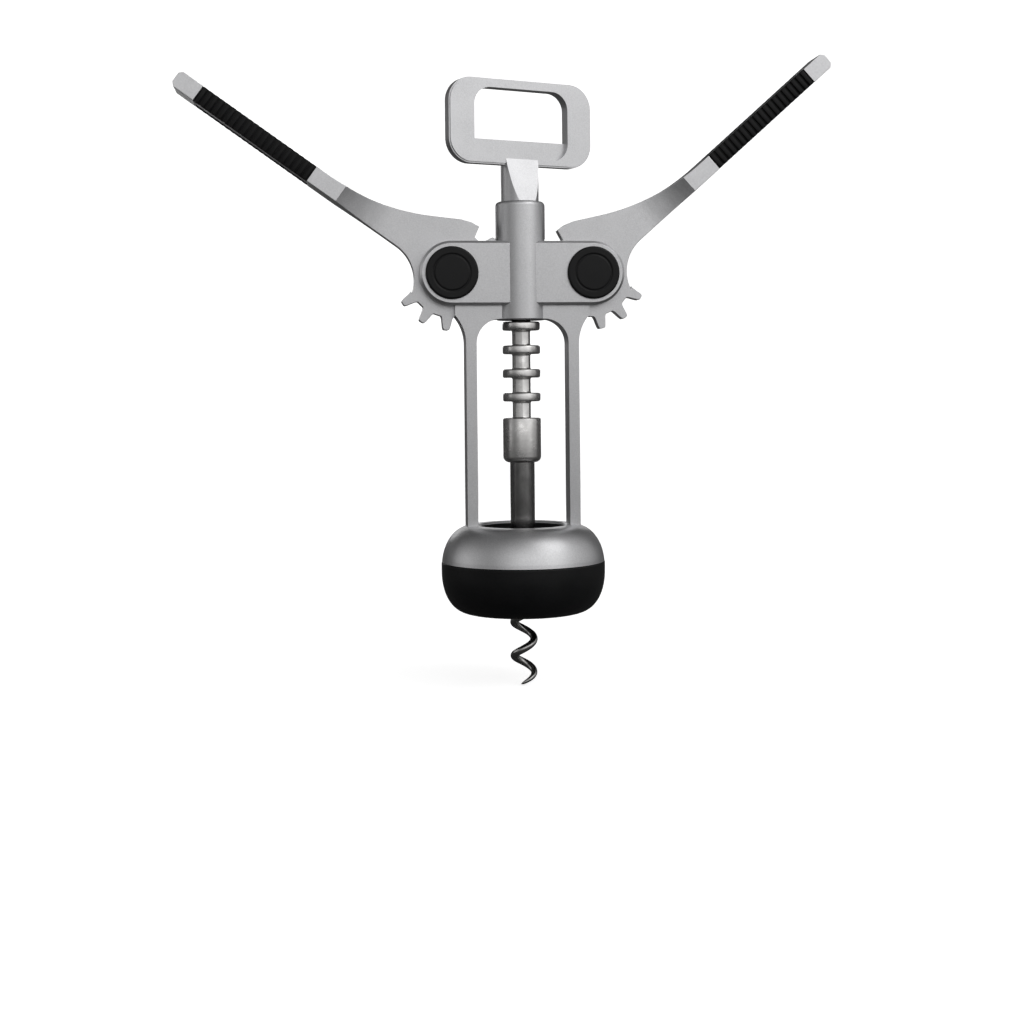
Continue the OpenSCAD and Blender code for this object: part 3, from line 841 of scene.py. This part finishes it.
class CORKSCREW_OT_shank(PieceOperator, bpy.types.Operator):
    """Build the polished steel shank with its rounded nose"""

    bl_idname = "corkscrew.shank"
    bl_label = "Shank"

    def execute(self, context):
        radius = context.scene.corkscrew_rack.shank_radius
        low, high = (Vector(corner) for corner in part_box("shank"))
        nose = 0.0012
        profile = [(0.0, low.z), (radius - nose, low.z)]
        profile += arc((radius - nose, low.z + nose), nose, -90, 0, 6)
        profile += [(radius, high.z - 0.0003), (radius - 0.0003, high.z), (0.0, high.z)]
        bm = bmesh.new()
        lathe(bm, profile, 96)
        obj = object_from(bm, "shank_turned")
        smooth_by_angle(obj.data, 35)
        finish_piece(obj, "shank")
        return {"FINISHED"}


class CORKSCREW_OT_worm(PieceOperator, bpy.types.Operator):
    """Build the worm as one smooth wire that ends in a point"""

    bl_idname = "corkscrew.worm"
    bl_label = "Worm"

    def execute(self, context):
        worm = context.scene.corkscrew_worm
        lead, point, per_turn = 0.6, 0.45, 40

        def centre(t):
            s = min(1.0, max(0.0, t) / lead)
            spread = worm.coil_radius * s * s * (3 - 2 * s)
            angle = worm.start - 2 * math.pi * t
            return Vector((spread * math.cos(angle), spread * math.sin(angle), worm.top - t * worm.rise))

        def thickness(t):
            left = worm.turns - t
            if left > point:
                return worm.wire_radius
            return worm.wire_radius * (0.12 + 0.88 * math.sqrt(max(0.0, left / point)))

        steps = round(worm.turns * per_turn)
        path = [(Vector((0.0, 0.0, worm.top + 0.009)), worm.wire_radius)]
        path += [(centre(i / per_turn), thickness(i / per_turn)) for i in range(steps + 1)]
        bm = bmesh.new()
        rings, across = [], Vector((1.0, 0.0, 0.0))
        for i, (place, radius) in enumerate(path):
            ahead = path[min(i + 1, len(path) - 1)][0] - path[max(i - 1, 0)][0]
            ahead.normalize()
            across = (across - ahead * across.dot(ahead)).normalized()
            up = ahead.cross(across)
            rings.append([bm.verts.new(place + radius * (math.cos(a) * across + math.sin(a) * up))
                          for a in (2 * math.pi * k / worm.sides for k in range(worm.sides))])
        for lower, upper in zip(rings, rings[1:]):
            for k in range(worm.sides):
                n = (k + 1) % worm.sides
                bm.faces.new((lower[k], lower[n], upper[n], upper[k]))
        bm.faces.new(rings[0])
        bm.faces.new(reversed(rings[-1]))
        bmesh.ops.recalc_face_normals(bm, faces=bm.faces)
        obj = object_from(bm, "worm_wire")
        smooth_by_angle(obj.data, 45)
        finish_piece(obj, "worm")
        return {"FINISHED"}


class CORKSCREW_OT_finishes(PieceOperator, bpy.types.Operator):
    """Give the CAD nodes that stay visible their finishes"""

    bl_idname = "corkscrew.finishes"
    bl_label = "Finishes"

    def execute(self, context):
        for node, obj in frame["nodes"].items():
            material = material_for(slot_of(node))
            for index in range(len(obj.material_slots)):
                obj.material_slots[index].material = material
        return {"FINISHED"}


class CORKSCREW_OT_stage(PieceOperator, bpy.types.Operator):
    """Set the floor, the lights and the camera"""

    bl_idname = "corkscrew.stage"
    bl_label = "Stage"

    def execute(self, context):
        floor_and_wall()
        for light in LIGHTS:
            soft_light(*light)
        surroundings()
        camera()
        context.scene.view_settings.view_transform = "Standard"
        return {"FINISHED"}


# ---- stage ------------------------------------------------------------------

FLOOR_GAP = 0.0006
SWEEP_DEPTH = 1.3
SWEEP_RADIUS = 0.5
STAGE_HALF = 3.0
SWEEP_GLOW = 0.70                            # light the paper gives off to the camera
SWEEP_SEEN = (0.92, 0.92, 0.92, 1.0)         # its colour to the camera
SWEEP_REFLECTED = (0.12, 0.12, 0.12, 1.0)    # and in reflections, which keeps edges dark


def floor_and_wall():
    """A pale sweep: a flat floor that curves up into a wall behind."""
    low = CAD_BOX[0][2] - FLOOR_GAP
    profile = [(-STAGE_HALF, 0.0), (SWEEP_DEPTH, 0.0)]
    for i in range(1, 17):
        angle = math.pi / 2 * i / 16
        profile.append((SWEEP_DEPTH + SWEEP_RADIUS * math.sin(angle), SWEEP_RADIUS * (1 - math.cos(angle))))
    profile.append((SWEEP_DEPTH + SWEEP_RADIUS, STAGE_HALF))
    bm = bmesh.new()
    rows = [[bm.verts.new((x, y, low + z)) for y, z in profile] for x in (-STAGE_HALF, STAGE_HALF)]
    for i in range(len(profile) - 1):
        bm.faces.new((rows[0][i], rows[1][i], rows[1][i + 1], rows[0][i + 1]))
    obj = object_from(bm, "stage_sweep")
    obj.data.shade_smooth()
    material, tree, shader = start_material("pale paper")
    shader.inputs["Roughness"].default_value = 0.9
    shader.inputs["Emission Color"].default_value = (1.0, 1.0, 1.0, 1.0)
    ray = tree.nodes.new("ShaderNodeLightPath")
    glow = math_node(tree, "MULTIPLY", ray.outputs["Is Camera Ray"], SWEEP_GLOW)
    tree.links.new(glow, shader.inputs["Emission Strength"])
    tone = mix_colour(tree, ray.outputs["Is Camera Ray"], SWEEP_REFLECTED, SWEEP_SEEN)
    tree.links.new(tone, shader.inputs["Base Color"])
    obj.data.materials.append(material)


# name, place, point it faces, width, height, power
LIGHTS = [
    ("key_right", (0.75, -0.80, 0.30), (0.0, 0.0, 0.10), 0.6, 0.9, 0.65),
    ("overhead", (0.50, -0.42, 0.80), (0.0, 0.0, 0.05), 0.5, 0.5, 1.3),
    ("rim_behind", (0.0, 0.85, 0.24), (0.0, 0.0, 0.08), 0.7, 0.14, 0.6),
]


def soft_light(name, place, target, width, height, power):
    data = bpy.data.lights.new(name, "AREA")
    data.shape = "RECTANGLE"
    data.size = width
    data.size_y = height
    data.energy = power
    obj = bpy.data.objects.new(name, data)
    bpy.context.scene.collection.objects.link(obj)
    obj.visible_camera = False
    obj.location = place
    obj.rotation_euler = (Vector(target) - Vector(place)).to_track_quat("-Z", "Y").to_euler()


# direction from the object, sharpness and brightness of each soft glow of the room
GLOWS = [
    ((0.47, -0.82, 0.32), 7.0, 0.76),
    ((-0.16, -0.94, 0.29), 7.0, 0.80),
    ((0.0, -1.0, 0.0), 1.0, 0.14),
    ((0.98, -0.10, 0.05), 4.0, 0.55),
    ((-0.98, 0.10, 0.03), 8.0, 0.85),
    ((0.50, -0.30, 0.80), 8.0, 0.24),
]
ROOM = 0.14


def surroundings():
    """A dim room with broad glows, as softboxes give."""
    world = bpy.data.worlds.new("studio")
    world.use_nodes = True
    tree = world.node_tree
    coordinate = tree.nodes.new("ShaderNodeTexCoord")
    level = ROOM
    for direction, power, amount in GLOWS:
        dot = tree.nodes.new("ShaderNodeVectorMath")
        dot.operation = "DOT_PRODUCT"
        tree.links.new(coordinate.outputs["Generated"], dot.inputs[0])
        dot.inputs[1].default_value = Vector(direction).normalized()
        facing = math_node(tree, "MAXIMUM", dot.outputs["Value"], 0.0)
        glow = math_node(tree, "MULTIPLY", math_node(tree, "POWER", facing, power), amount)
        level = math_node(tree, "ADD", glow, level)
    tree.links.new(level, tree.nodes["Background"].inputs["Strength"])
    tree.nodes["Background"].inputs["Color"].default_value = (1.0, 1.0, 1.0, 1.0)
    bpy.context.scene.world = world


CAMERA_SHIFT = (-0.0093, -0.1272)


def camera():
    settings = bpy.context.scene.corkscrew_camera
    data = bpy.data.cameras.new("camera")
    data.sensor_width = 36.0
    data.lens = settings.lens
    data.shift_x, data.shift_y = CAMERA_SHIFT
    obj = bpy.data.objects.new("camera", data)
    bpy.context.scene.collection.objects.link(obj)
    a = settings.azimuth
    obj.location = (settings.distance * math.sin(a), -settings.distance * math.cos(a), settings.eye_height)
    turn = Matrix.Rotation(a, 4, "Z") @ Matrix.Rotation(math.pi / 2, 4, "X")
    obj.rotation_euler = (turn @ Matrix.Rotation(settings.lean, 4, "Z")).to_euler()
    bpy.context.scene.camera = obj


# ---- panel and registration -------------------------------------------------

OPERATORS = (
    CORKSCREW_OT_finishes, CORKSCREW_OT_castings, CORKSCREW_OT_mouldings, CORKSCREW_OT_guide,
    CORKSCREW_OT_small_parts, CORKSCREW_OT_grips, CORKSCREW_OT_rack, CORKSCREW_OT_shank,
    CORKSCREW_OT_worm, CORKSCREW_OT_stage)


class CORKSCREW_PT_panel(bpy.types.Panel):
    """Settings and steps of the corkscrew"""

    bl_label = "Corkscrew"
    bl_idname = "CORKSCREW_PT_panel"
    bl_space_type = "VIEW_3D"
    bl_region_type = "UI"
    bl_category = "Corkscrew"

    def draw(self, context):
        for name, group in SETTINGS.items():
            box = self.layout.box()
            settings = getattr(context.scene, name)
            for key in group.__annotations__:
                box.prop(settings, key)
        for operator in OPERATORS:
            self.layout.operator(operator.bl_idname)


CLASSES = (*SETTINGS.values(), *OPERATORS, CORKSCREW_PT_panel)


def register():
    for cls in CLASSES:
        bpy.utils.register_class(cls)
    for name, group in SETTINGS.items():
        setattr(bpy.types.Scene, name, PointerProperty(type=group))


def unregister():
    for name in SETTINGS:
        delattr(bpy.types.Scene, name)
    for cls in reversed(CLASSES):
        bpy.utils.unregister_class(cls)


def main():
    register()
    bpy.ops.corkscrew.finishes()
    bpy.ops.corkscrew.castings()
    bpy.ops.corkscrew.mouldings()
    bpy.ops.corkscrew.guide()
    bpy.ops.corkscrew.small_parts()
    bpy.ops.corkscrew.grips()
    bpy.ops.corkscrew.rack()
    bpy.ops.corkscrew.shank()
    bpy.ops.corkscrew.worm()
    bpy.ops.corkscrew.stage()


if __name__ == "__main__":
    main()
